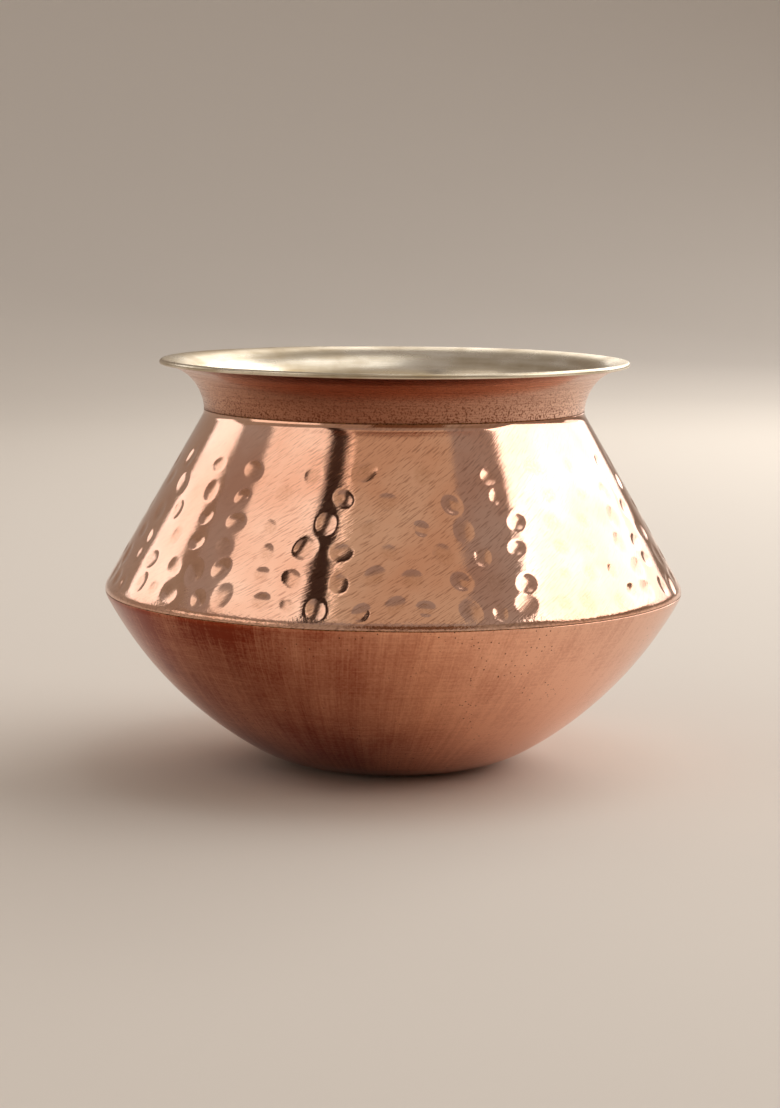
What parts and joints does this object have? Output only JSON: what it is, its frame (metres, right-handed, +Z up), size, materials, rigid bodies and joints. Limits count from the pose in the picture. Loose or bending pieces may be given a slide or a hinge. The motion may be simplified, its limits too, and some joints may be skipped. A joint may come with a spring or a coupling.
{
  "type": "handi pot",
  "caption": "Round-bottomed copper handi with a hammered conical shoulder, a narrow neck with a wide flared lip and a tinned inside, for cooking and serving.",
  "frame": {"origin": "centre of the flat under the bowl, on the surface that the pot stands on", "axes": "+Z up along the axis of the pot, +X to the right and +Y away when the pictured side is seen from the front"},
  "size_m": [0.1874, 0.1874, 0.1317],
  "materials": {
    "satin_copper": "satin",
    "polished_copper": "polished",
    "brushed_copper": "brushed",
    "braze": "satin",
    "wiped_tin": "satin"
  },
  "bodies": {
    "root": {"bowl": "satin_copper", "shoulder": "polished_copper", "neck_collar": "brushed_copper", "belly_braze": "braze", "neck_braze": "braze", "tin_lining": "wiped_tin"}
  },
  "joints": []
}
